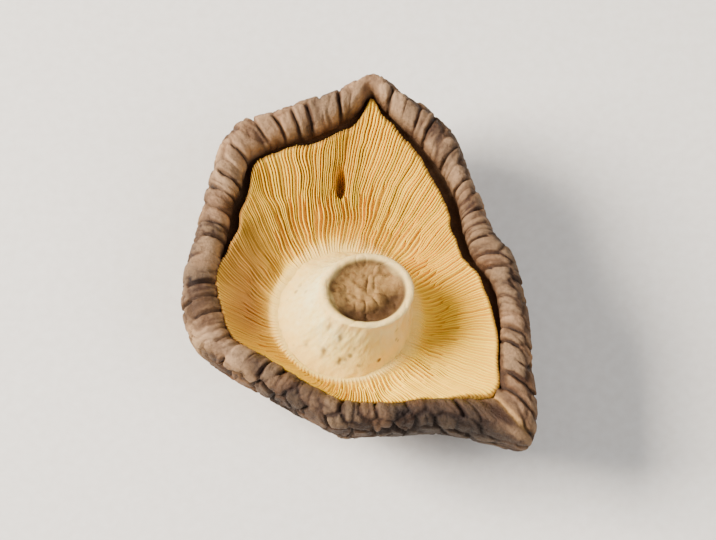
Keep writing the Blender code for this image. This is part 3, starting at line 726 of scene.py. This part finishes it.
def build_gills():
    """The gill layer as a fine mesh: a ring of blades round the stem, closed underneath."""
    dice = np.random.default_rng(SKIN_SEED + 1)
    blade = np.repeat(np.arange(GILL_BLADES), len(BLADE_SHAPE))
    offset = np.tile([place for place, _ in BLADE_SHAPE], GILL_BLADES)
    shape = np.tile([height for _, height in BLADE_SHAPE], GILL_BLADES)
    number = np.arange(GILL_BLADES)
    starts = np.where(number % 2 == 0, -1.0, dice.uniform(*SHORT_STARTS, GILL_BLADES))
    tall = dice.uniform(*BLADE_TALL, GILL_BLADES)
    thick = dice.uniform(*BLADE_THICK, GILL_BLADES)
    tint = dice.random(GILL_BLADES)
    aside = dice.uniform(-BLADE_ASIDE, BLADE_ASIDE, GILL_BLADES)
    turn = np.linspace(0, 2 * math.pi, 721)
    edge = gill_reach(turn)
    steps = np.hypot(np.diff(edge * np.cos(turn)), np.diff(edge * np.sin(turn)))
    run = np.concatenate([[0.0], np.cumsum(steps)])
    share = (blade + offset * thick[blade] + aside[blade]) / GILL_BLADES
    even = share * 2 * math.pi
    lined = np.interp(share % 1.0 * run[-1], run, turn) + 2 * math.pi * np.floor(share)
    levels = np.concatenate([np.linspace(-0.16, 0.1, 8), np.linspace(0.125, 0.94, 40), [0.96, 0.98, 1.0]])
    columns = len(blade)
    rings, parts, crest_and_painted_shade_rows, tints, shade_and_margin_rows, pale_and_light_rows, feet = [], [], [], [], [], [], []
    for row, u in enumerate(levels):
        angle = even + (lined - even) * (0.3 + 0.4 * max(u, 0.0))
        wide, deep = STEM_RADIUS[0] + STEM_CLEAR, STEM_RADIUS[1] + STEM_CLEAR
        hole = 1 / np.hypot(np.cos(angle) / wide, np.sin(angle) / deep)
        rough_x = STEM_FOOT[0] + gill_reach(angle) * np.cos(angle)
        rough_y = STEM_FOOT[1] + gill_reach(angle) * np.sin(angle)
        from_cap = np.arctan2(rough_y - CENTRE[1], rough_x - CENTRE[0])
        tip = TIP_LENGTH * np.exp(-((angle - TIP_TURN) / TIP_SPREAD) ** 2)
        full = FULL_REACH * np.exp(-((angle - FULL_SIDE) / FULL_SPREAD) ** 2)
        outer = gill_reach(angle) + TOUCH_REACH * (1 - groove_openness(from_cap)) + tip + full
        outer = outer + layered(np.c_[rough_x, rough_y, np.zeros(columns)], RAGGED)
        r = hole + (outer - hole) * u
        flat = np.c_[r * np.cos(angle), r * np.sin(angle), np.full(columns, 0.0)]
        angle = angle + layered(flat, WAVES) * ease(u / 0.15) / r
        x, y = STEM_FOOT[0] + r * np.cos(angle), STEM_FOOT[1] + r * np.sin(angle)
        from_cap = np.arctan2(y - CENTRE[1], x - CENTRE[0])
        top = rim_crest(from_cap) - UNDER_CREST[0] - UNDER_CREST[1] * groove_openness(from_cap)
        z = GILL_MIDDLE + (top - GILL_MIDDLE) * max(u, 0.0) ** GILL_CUP
        z = z + GILL_FOOT_RISE * ease((0.14 - u) / 0.14)
        grown = ease((u - starts) / 0.07)[blade] * ease((u + 0.08) / 0.2)
        margin = ease((1.0 - u) / 0.08)
        place = np.c_[x, y, np.zeros(columns)]
        depth = BLADE_DEPTH * (0.4 + 0.6 * ease(max(u, 0.0) / 0.35)) * (0.35 + 0.65 * margin)
        crest = shape * grown
        z = z + (tall[blade] + layered(place, DENTS)) * grown * shape - depth * (1 - crest)
        slit = ((x - SLIT[0]) / SLIT_SIZE[0]) ** 2 + ((y - SLIT[1]) / SLIT_SIZE[1]) ** 2
        slit = np.exp(-slit ** 2)
        crease = distance_to_path(place[:, :2], GILL_CREASE) / GILL_CREASE_WIDTH
        crease = np.exp(-crease ** 2)
        z = z - SLIT_DEPTH * slit - GILL_CREASE_DEPTH * crease
        z = np.where(u > 0.97, z - 0.35 * (u - 0.96) / 0.04, z)
        rings.append(np.arange(row * columns, (row + 1) * columns))
        parts.append(np.c_[x, y, z])
        # The crest value is low in the gaps between blades and lowest in the slit and crease, so the colour
        # there is darker: painted shade.
        crest_and_painted_shade_rows.append(crest * (1 - 0.9 * slit) * (1 - 0.15 * crease) - 0.5 * slit)
        tints.append(tint[blade])
        on_margin = ease((u - MARGIN_START) / MARGIN_BLEND)
        # Painted shade on the left, and a browner margin, which is the gills' own tone.
        painted_shade_and_brown_margin = soft_spots(place, PAINTED_SHADE_SPOTS) * ease((u + 0.02) / 0.12) + 0.7 * on_margin
        shade_and_margin_rows.append(np.clip(painted_shade_and_brown_margin, 0, 1))
        # Painted light on the right, with the gills' own paler tone at the bottom and near the stem.
        pale_and_painted_light = soft_spots(place, PALE_AND_PAINTED_LIGHT_SPOTS) + 0.35 * ease((0.5 - u) / 0.4)
        pale_and_light_rows.append(np.clip(pale_and_painted_light, 0, 1) * (1 - on_margin))
        feet.append(ease((0.15 - u) / 0.15) * (1 + 0.3 * noise(place, 0.8, 30)))
    count = len(levels) * columns
    top_count = count
    outer_row, inner_row = parts[-1], parts[0]
    for row in (outer_row, (outer_row[::2] + inner_row[::2]) / 2, inner_row):
        x, y = row[:, 0], row[:, 1]
        below = np.c_[x, y, pocket_floor(x, y) + 0.05]
        parts.append(below)
        rings.append(np.arange(count, count + len(below)))
        count += len(below)
    points = np.concatenate(parts)
    rings.append(rings[0])
    triangles = np.concatenate([band(rings[k], rings[k + 1]) for k in range(len(rings) - 1)])
    rest = np.zeros(count - top_count)
    lists = {"crest": crest_and_painted_shade_rows, "tint": tints, "painted_shade_and_brown_margin": shade_and_margin_rows, "pale_and_painted_light": pale_and_light_rows, "foot": feet}
    values = {label: np.concatenate([*rows, rest]) for label, rows in lists.items()}
    return make_piece("gill_blades", points, triangles, values)


# Dried gill tissue: soft and matt like stiff paper. Blade edges are golden cream and the gaps between
# them deeper gold, which is painted shade, with a darker bruised tone here and there and light passing
# through thin edges.
# Bruises are about 5 mm across. The grain of 0.3 mm is coarser than the real one, so that it shows.
gill, gill_shader = new_material(
    "dried_gill_tissue", 0.7,
    {
        "IOR": 1.42, "Specular IOR Level": 0.3, "Subsurface Weight": 0.1, "Subsurface Scale": 0.0005,
        "Subsurface Radius": (1.0, 0.62, 0.3),
    },
)
gill_crest_and_painted_shade, gill_shade_and_margin, gill_pale_and_light, gill_tint, gill_foot = (
    add(gill, "ShaderNodeAttribute", {"attribute_name": label}, {}).outputs["Fac"]
    for label in ("crest", "painted_shade_and_brown_margin", "pale_and_painted_light", "tint", "foot")
)
gill_place = add(gill, "ShaderNodeTexCoord", {}, {}).outputs["Object"]
bruises = add(
    gill, "ShaderNodeTexNoise", {"Scale": 190.0, "Detail": 5.0, "Roughness": 0.55}, {"Vector": gill_place}
).outputs["Fac"]
gill_grain = add(
    gill, "ShaderNodeTexNoise", {"Scale": 3200.0, "Detail": 4.0, "Roughness": 0.6}, {"Vector": gill_place}
).outputs["Fac"]
gill_colour = add(gill, "ShaderNodeValToRGB", {}, {"Fac": gill_crest_and_painted_shade})
stops(gill_colour, [(0.0, "#cf9a2c"), (0.3, "#e1af2e"), (0.75, "#fcc932"), (1.0, "#ffda3e")])
bruise_share = add(
    gill, "ShaderNodeMapRange", {"From Min": 0.45, "From Max": 0.7, "To Max": 0.4}, {"Value": bruises}
)
gill_bruised = add(
    gill, "ShaderNodeMix", {"data_type": "RGBA", 7: colour("#dba638")},
    {"Factor": bruise_share.outputs["Result"], 6: gill_colour.outputs["Color"]},
)
pale_share = add(
    gill, "ShaderNodeMath", {"operation": "MULTIPLY", 1: 0.35}, {0: gill_tint}
)
gill_paled = add(
    gill, "ShaderNodeMix", {"data_type": "RGBA", 7: colour("#ffd43c")},
    {"Factor": pale_share.outputs[0], 6: gill_bruised.outputs[2]},
)
# Painted shade on the left and the margin's own brown.
gill_shaded_and_browned = add(
    gill, "ShaderNodeMix", {"data_type": "RGBA", 7: colour("#b98440")},
    {"Factor": gill_shade_and_margin, 6: gill_paled.outputs[2]},
)
# Painted light on the right and the gills' own paler tone lower down.
pale_and_light_part = add(gill, "ShaderNodeMath", {"operation": "MULTIPLY", 1: 0.7}, {0: gill_pale_and_light})
gill_last = add(
    gill, "ShaderNodeMix", {"data_type": "RGBA", 7: colour("#ffdd42")},
    {"Factor": pale_and_light_part.outputs[0], 6: gill_shaded_and_browned.outputs[2]},
)
foot_part = add(gill, "ShaderNodeMath", {"operation": "MULTIPLY", 1: 0.75}, {0: gill_foot})
gill_last = add(
    gill, "ShaderNodeMix", {"data_type": "RGBA", 7: colour("#f9d47a")},
    {"Factor": foot_part.outputs[0], 6: gill_last.outputs[2]},
)
gill.node_tree.links.new(gill_last.outputs[2], gill_shader.inputs["Base Color"])
gill_gloss = add(
    gill, "ShaderNodeMapRange", {"From Min": 0.3, "From Max": 0.7, "To Min": 0.6, "To Max": 0.85},
    {"Value": gill_grain},
)
gill.node_tree.links.new(gill_gloss.outputs["Result"], gill_shader.inputs["Roughness"])
gill_relief = add(gill, "ShaderNodeBump", {"Strength": 0.4, "Distance": 0.0001}, {"Height": gill_grain})
gill.node_tree.links.new(gill_relief.outputs["Normal"], gill_shader.inputs["Normal"])

gills = build_gills()
gills.data.materials.append(gill)
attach(gills, "root")
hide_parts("gills")

# Stem. A shiitake's stem is tough and fibrous, so it is trimmed short before drying. The stub widens
# into the gills, leans to one side, and its cut end has dried into a brown dish with a pale rind.
CUT_CENTRE = (0.7, -4.0)
CUT_RADIUS = (5.2, 4.8)
CUT_HEIGHT = 17.0
CUT_TILT = math.radians(6)
STEM_COLUMNS = 320
WALL_ROWS = 92
# The lines through STEM_ROWS are drawn with this many points and smoothed over this many.
LINE_POINTS = 400
LINE_SMOOTH = 45
# Height, share of the way from the foot to the trimmed end, share of the foot's radius.
STEM_ROWS = [
    (9.6, 0.0, 1.16), (10.5, 0.0, 1.14), (11.0, 0.0, 1.08), (11.6, 0.08, 0.88), (12.5, 0.24, 0.6),
    (13.6, 0.46, 0.32), (14.9, 0.7, 0.13), (16.1, 0.9, 0.02), (16.8, 1.0, 0.0),
]
# Dished end: share of the end's radius, depth under the rind.
DISH_ROWS = [
    (1.0, 0.1), (0.97, -0.08), (0.92, -0.16), (0.87, -0.14), (0.82, 0.0), (0.76, 0.3), (0.68, 0.56),
    (0.54, 0.74), (0.36, 0.86), (0.18, 0.93),
]
# The root, where the wall runs into the gills: how far up the wall it reaches and fades, then its
# ribs (number and height), how ragged it is, and how uneven in height.
ROOT_REACH = (0.35, 0.3)
RIBS = (72, 0.12)
ROOT_RAGGED = [(2.2, 0.3, 35)]
ROOT_UNEVEN = [(1.8, 0.35, 36)]
# Size, amount and seed of the relief of the wall's fibres and of the trimmed end.
WALL_RELIEF = [(1.5, 0.16, 31), (0.6, 0.08, 32), (0.3, 0.05, 33)]
CUT_RELIEF = [(1.5, 0.2, 41), (0.6, 0.13, 42)]
CUT_WRINKLES = 0.2
# The trimmed end is deepest at the lower right, where painted shade darkens its hollow.
DEEP_SIDE = -1.15
DEEP_DROP = 0.75
# The front of the wall is yellower than its left side: place, size across and along, and amount.
WARM_SPOTS = [(1.0, -10.6, 4.2, 3.0, 0.75), (6.5, -7.0, 2.4, 4.0, 0.4)]
# Dark specks on the front of the wall: place, size across and along, and strength.
SPECKS = [
    (-3.4, -7.7, 0.28, 0.3, 0.8), (-2.3, -8.8, 0.24, 0.28, 0.75), (-4.1, -9.5, 0.3, 0.42, 0.8),
    (-2.4, -10.5, 0.3, 0.26, 0.85), (-6.0, -8.4, 0.2, 0.24, 0.6), (-0.8, -9.7, 0.18, 0.2, 0.55),
]


def build_stem():
    """The stem as a fine mesh: its flare, its fibrous wall, the rind and the dished end."""
    angle = np.arange(STEM_COLUMNS) * 2 * math.pi / STEM_COLUMNS
    cos, sin = np.cos(angle), np.sin(angle)
    rows = np.array(STEM_ROWS)
    way = np.linspace(0, 1, len(rows))
    fine = np.linspace(0, 1, LINE_POINTS)
    kernel = np.hanning(LINE_SMOOTH) / np.hanning(LINE_SMOOTH).sum()
    spare = LINE_SMOOTH - 1
    smooth = []
    for column in rows.T:
        line = np.interp(fine, way, column)
        before = 2 * line[0] - line[1:spare + 1][::-1]
        after = 2 * line[-1] - line[-spare - 1:-1][::-1]
        padded = np.concatenate([before, line, after])
        smooth.append(np.convolve(padded, kernel, "same")[spare:-spare])
    rings, parts, cut, along, painted_hollow_shade, speck, warm = [], [], [], [], [], [], []
    none = np.zeros(STEM_COLUMNS)
    count = 0
    for level in np.linspace(0, 1, WALL_ROWS):
        z, lean, foot = (np.interp(level, fine, line) for line in smooth)
        mx = STEM_FOOT[0] + (CUT_CENTRE[0] - STEM_FOOT[0]) * lean
        my = STEM_FOOT[1] + (CUT_CENTRE[1] - STEM_FOOT[1]) * lean
        rx = CUT_RADIUS[0] + (STEM_RADIUS[0] - CUT_RADIUS[0]) * foot
        ry = CUT_RADIUS[1] + (STEM_RADIUS[1] - CUT_RADIUS[1]) * foot
        ring = np.c_[rx * cos, ry * sin, np.full(STEM_COLUMNS, z * 0.22)]
        root = ease((ROOT_REACH[0] - level) / ROOT_REACH[1])
        ribs = RIBS[1] * root * np.maximum(0, np.sin(RIBS[0] * angle + 1.3 * noise(ring, 3.0, 34)))
        relief = layered(ring, WALL_RELIEF) + ribs + root * layered(ring, ROOT_RAGGED)
        x = mx + (rx + relief) * cos
        y = my + (ry + relief) * sin
        tilt = -math.tan(CUT_TILT) * (y - my) * lean ** 2
        place = np.c_[x, y, z + tilt + root * layered(ring, ROOT_UNEVEN)]
        parts.append(place)
        rings.append(np.arange(count, count + STEM_COLUMNS))
        cut.append(none)
        painted_hollow_shade.append(none)
        speck.append(soft_spots(place[:, :2] + 0.12 * shifts(place, 0.4, 46, 2), SPECKS))
        warm.append(soft_spots(place[:, :2], WARM_SPOTS))
        along.append(level + 0.08 * noise(ring, 1.2, 37))
        count += STEM_COLUMNS
    share_line, depth_line = np.array(DISH_ROWS[::-1]).T
    for share in np.concatenate([np.linspace(0.99, 0.8, 12), np.linspace(0.775, 0.1, 22)]):
        x = CUT_CENTRE[0] + CUT_RADIUS[0] * share * cos
        y = CUT_CENTRE[1] + CUT_RADIUS[1] * share * sin
        ring = np.c_[x, y, none]
        hollow = ease((0.86 - share) / 0.22)
        edge = np.exp(-((share - 0.79) / 0.06) ** 2)
        deep = hollow * ease((np.cos(angle - DEEP_SIDE) + 0.1) / 0.9) * ease((share - 0.25) / 0.35)
        rough = layered(ring, CUT_RELIEF) - CUT_WRINKLES * ridges(ring, 1.1, 44, 5)
        rings.append(np.arange(count, count + STEM_COLUMNS))
        z = CUT_HEIGHT - np.interp(share, share_line, depth_line) - DEEP_DROP * deep
        z = z - math.tan(CUT_TILT) * (y - CUT_CENTRE[1]) + rough * (0.4 + 0.6 * hollow)
        parts.append(np.c_[x, y, z])
        cut.append(ease((0.83 + 0.05 * noise(ring, 1.6, 43) - share) / 0.09))
        # Painted shade in the deepest part of the hollow and in a ring just inside the rind.
        painted_hollow_shade.append(np.clip(1.5 * deep + 0.65 * edge, 0, 1))
        along.append(none + 1)
        speck.append(none)
        warm.append(none)
        count += STEM_COLUMNS
    triangles = [band(rings[k], rings[k + 1]) for k in range(len(rings) - 1)]
    first, final = rings[0], rings[-1]
    parts.append([[CUT_CENTRE[0], CUT_CENTRE[1], CUT_HEIGHT - 0.95], [STEM_FOOT[0], STEM_FOOT[1], 9.4]])
    triangles.append(np.c_[final, np.roll(final, -1), np.full(len(final), count)])
    triangles.append(np.c_[np.roll(first, -1), first, np.full(len(first), count + 1)])
    values = {
        "cut": np.concatenate([*cut, [1.0, 0.0]]),
        "along": np.concatenate([*along, [1.0, 0.0]]),
    }
    for label, lines in (("painted_hollow_shade", painted_hollow_shade), ("speck", speck), ("warm", warm)):
        values[label] = np.concatenate([*lines, [0.0, 0.0]])
    return make_piece("trimmed_stem", np.concatenate(parts), np.concatenate(triangles), values)


# Dried stem tissue: pale, tough fibres that run along the wall, matt and slightly woolly. The cut
# end has browned and is spongy, with darker pores. Real fibres and pores are under 0.1 mm. They are
# drawn at about 0.5 mm, with finer detail inside, so that they show.
fibre, fibre_shader = new_material(
    "dried_stem_fibre", 0.75,
    {
        "IOR": 1.42, "Specular IOR Level": 0.25, "Subsurface Weight": 0.15, "Subsurface Scale": 0.0006,
        "Subsurface Radius": (1.0, 0.62, 0.35),
    },
)
stem_cut, stem_along, stem_hollow_shade, stem_speck, stem_warm = (
    add(fibre, "ShaderNodeAttribute", {"attribute_name": label}, {}).outputs["Fac"]
    for label in ("cut", "along", "painted_hollow_shade", "speck", "warm")
)
stem_place = add(fibre, "ShaderNodeTexCoord", {}, {}).outputs["Object"]
stretched = add(
    fibre, "ShaderNodeMapping", {"Scale": (1.0, 1.0, 0.16)}, {"Vector": stem_place}
).outputs["Vector"]
strands = add(
    fibre, "ShaderNodeTexNoise", {"Scale": 1900.0, "Detail": 6.0, "Roughness": 0.6}, {"Vector": stretched}
).outputs["Fac"]
patches = add(
    fibre, "ShaderNodeTexNoise", {"Scale": 260.0, "Detail": 4.0, "Roughness": 0.5}, {"Vector": stretched}
).outputs["Fac"]
pores = add(
    fibre, "ShaderNodeTexNoise", {"Scale": 1500.0, "Detail": 8.0, "Roughness": 0.62, "Distortion": 0.6},
    {"Vector": stem_place},
).outputs["Fac"]
half_strands = add(fibre, "ShaderNodeMath", {"operation": "MULTIPLY", 1: 0.5}, {0: strands})
wall_fac = add(
    fibre, "ShaderNodeMath", {"operation": "MULTIPLY_ADD", 1: 0.5}, {0: patches, 2: half_strands.outputs[0]}
)
wall_colour = add(fibre, "ShaderNodeValToRGB", {}, {"Fac": wall_fac.outputs[0]})
stops(wall_colour, [(0.3, "#e6be68"), (0.44, "#f9dc8a"), (0.56, "#ffeba8"), (0.75, "#fff6c8")])
foot_share = add(
    fibre, "ShaderNodeMapRange", {"From Min": 0.8, "From Max": 0.36, "To Max": 0.7}, {"Value": stem_along}
)
footed = add(
    fibre, "ShaderNodeMix", {"data_type": "RGBA", 7: colour("#f4c35c")},
    {"Factor": foot_share.outputs["Result"], 6: wall_colour.outputs["Color"]},
)
warmed = add(
    fibre, "ShaderNodeMix", {"data_type": "RGBA", 7: colour("#f9cf62")},
    {"Factor": stem_warm, 6: footed.outputs[2]},
)
cut_colour = add(fibre, "ShaderNodeValToRGB", {}, {"Fac": pores})
stops(cut_colour, [(0.28, "#6a4824"), (0.42, "#8a673b"), (0.6, "#9d7a48"), (0.8, "#ab8650")])
speck_cells = add(fibre, "ShaderNodeTexVoronoi", {"Scale": 620.0}, {"Vector": stem_place})
speck_dots = add(
    fibre, "ShaderNodeMapRange", {"From Min": 0.1, "From Max": 0.24, "To Min": 1.0, "To Max": 0.0},
    {"Value": speck_cells.outputs["Distance"]},
)
speck_band = add(
    fibre, "ShaderNodeMapRange", {"From Min": 0.45, "From Max": 0.8, "To Min": 0.9, "To Max": 0.0},
    {"Value": stem_along},
)
speck_patch = add(fibre, "ShaderNodeMapRange", {"From Min": 0.44, "From Max": 0.52}, {"Value": patches})
specks = add(
    fibre, "ShaderNodeMath", {"operation": "MULTIPLY"},
    {0: speck_dots.outputs["Result"], 1: speck_band.outputs["Result"]},
)
specks = add(
    fibre, "ShaderNodeMath", {"operation": "MULTIPLY"},
    {0: specks.outputs[0], 1: speck_patch.outputs["Result"]},
)
specks = add(fibre, "ShaderNodeMath", {"operation": "MAXIMUM"}, {0: specks.outputs[0], 1: stem_speck})
specked = add(
    fibre, "ShaderNodeMix", {"data_type": "RGBA", 7: colour("#5a3a1e")},
    {"Factor": specks.outputs[0], 6: warmed.outputs[2]},
)
rind_share = add(
    fibre, "ShaderNodeMapRange", {"From Min": 0.8, "From Max": 0.97, "To Max": 0.6}, {"Value": stem_along}
)
rinded = add(
    fibre, "ShaderNodeMix", {"data_type": "RGBA", 7: colour("#f7cb78")},
    {"Factor": rind_share.outputs["Result"], 6: specked.outputs[2]},
)
stem_colour = add(
    fibre, "ShaderNodeMix", {"data_type": "RGBA"},
    {"Factor": stem_cut, 6: rinded.outputs[2], 7: cut_colour.outputs["Color"]},
)
# Painted shade darkens the hollow of the cut end and a ring inside its rind.
hollow_shade_share = add(fibre, "ShaderNodeMath", {"operation": "MULTIPLY", 1: 0.85}, {0: stem_hollow_shade})
stem_hollow_shaded = add(
    fibre, "ShaderNodeMix", {"data_type": "RGBA", 7: colour("#3c2310")},
    {"Factor": hollow_shade_share.outputs[0], 6: stem_colour.outputs[2]},
)
fibre.node_tree.links.new(stem_hollow_shaded.outputs[2], fibre_shader.inputs["Base Color"])
stem_gloss = add(
    fibre, "ShaderNodeMapRange", {"From Min": 0.3, "From Max": 0.7, "To Min": 0.65, "To Max": 0.9},
    {"Value": strands},
)
fibre.node_tree.links.new(stem_gloss.outputs["Result"], fibre_shader.inputs["Roughness"])
stem_height = add(
    fibre, "ShaderNodeMix", {"data_type": "FLOAT"}, {"Factor": stem_cut, 2: strands, 3: pores}
)
stem_relief = add(
    fibre, "ShaderNodeBump", {"Strength": 0.6, "Distance": 0.00016}, {"Height": stem_height.outputs[0]}
)
fibre.node_tree.links.new(stem_relief.outputs["Normal"], fibre_shader.inputs["Normal"])

stem = build_stem()
stem.data.materials.append(fibre)
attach(stem, "root")
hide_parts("stem")

# Floor: a plain sheet of matt card under the mushroom, made of pressed paper fibres.
FLOOR_HALF = 3  # metres

# Uncoated card: pale, matt, with a faint mottle of about 1 mm from its fibres.
card, card_shader = new_material("pale_card", 0.8, {"IOR": 1.5, "Specular IOR Level": 0.3})
card_place = add(card, "ShaderNodeTexCoord", {}, {}).outputs["Object"]
card_grain = add(
    card, "ShaderNodeTexNoise", {"Scale": 900.0, "Detail": 3.0}, {"Vector": card_place}
).outputs["Fac"]
card_colour = add(card, "ShaderNodeValToRGB", {}, {"Fac": card_grain})
stops(card_colour, [(0.3, "#efebe5"), (0.7, "#f6f3ee")])
card.node_tree.links.new(card_colour.outputs["Color"], card_shader.inputs["Base Color"])
floor_mesh = bpy.data.meshes.new("floor")
corners = [(x * FLOOR_HALF, y * FLOOR_HALF, 0) for x, y in ((-1, -1), (1, -1), (1, 1), (-1, 1))]
floor_mesh.from_pydata(corners, [], [(0, 1, 2, 3)])
floor_mesh.materials.append(card)
floor = bpy.data.objects.new("floor", floor_mesh)
bpy.context.scene.collection.objects.link(floor)

# Soft studio light: a window-like panel low on the left, a weak one above on the right, and pale
# walls all round. Sizes and places here are in metres, and powers in watts.
AIM = Vector((0.0, 0.0, 0.009))
WALL_LIGHT = 0.31


def panel(name, place, size, power, hex_value):
    """A square area light at a place in metres, turned towards the mushroom."""
    light = bpy.data.lights.new(name, "AREA")
    light.shape = "SQUARE"
    light.size = size
    light.energy = power
    light.color = colour(hex_value)[:3]
    lamp = bpy.data.objects.new(name, light)
    lamp.location = place
    lamp.rotation_euler = (AIM - Vector(place)).to_track_quat("-Z", "Y").to_euler()
    bpy.context.scene.collection.objects.link(lamp)


panel("window_panel", (-0.58, 0.06, 0.40), 0.36, 18.4, "#fff6ea")
panel("fill_panel", (0.4, -0.3, 0.6), 0.5, 3.4, "#f8f8fb")
world = bpy.data.worlds.new("studio")
world.use_nodes = True
world.node_tree.nodes["Background"].inputs["Color"].default_value = colour("#f3f1ee")
world.node_tree.nodes["Background"].inputs["Strength"].default_value = WALL_LIGHT
bpy.context.scene.world = world

# Camera: the photograph looks at the gill side from about 65 degrees above. Lens and sensor are in
# millimetres, and are long enough to show the mushroom without the bend of a close view.
VIEW_HEIGHT = math.radians(65)
VIEW_DISTANCE = 0.5
LENS = 225.0
SENSOR = 36.0
NEAREST = 0.01
camera_data = bpy.data.cameras.new("camera")
camera_data.sensor_width = SENSOR
camera_data.lens = LENS
camera_data.clip_start = NEAREST
camera = bpy.data.objects.new("camera", camera_data)
camera.location = AIM + VIEW_DISTANCE * Vector((0.0, -math.cos(VIEW_HEIGHT), math.sin(VIEW_HEIGHT)))
camera.rotation_euler = (AIM - camera.location).to_track_quat("-Z", "Y").to_euler()
bpy.context.scene.collection.objects.link(camera)
bpy.context.scene.camera = camera
